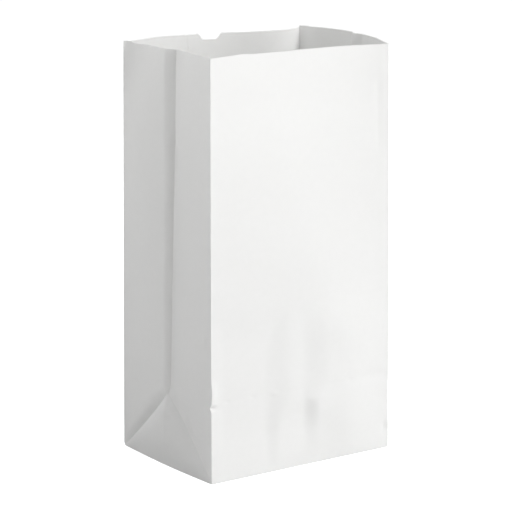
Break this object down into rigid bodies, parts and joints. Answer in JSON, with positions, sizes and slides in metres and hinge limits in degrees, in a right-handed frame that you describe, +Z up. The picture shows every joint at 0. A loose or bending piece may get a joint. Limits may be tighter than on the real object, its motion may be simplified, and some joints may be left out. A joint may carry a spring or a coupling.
{
  "type": "paper bag",
  "caption": "Open, empty block-bottom paper bag with creased side gussets, a flat folded base, a pinked rim and a thumb notch in the back rim.",
  "frame": {"origin": "centre of the flat bottom, on the surface the bag stands on", "axes": "+Z up from the bottom to the open rim, X across the wide panels, -Y towards the front panel, +Y towards the back panel with the thumb notch"},
  "size_m": [0.2279, 0.1636, 0.4032],
  "materials": {
    "paper": "matt bleached kraft, lightly machine-glazed outside"
  },
  "bodies": {
    "root": {"bag": "paper"}
  },
  "joints": []
}
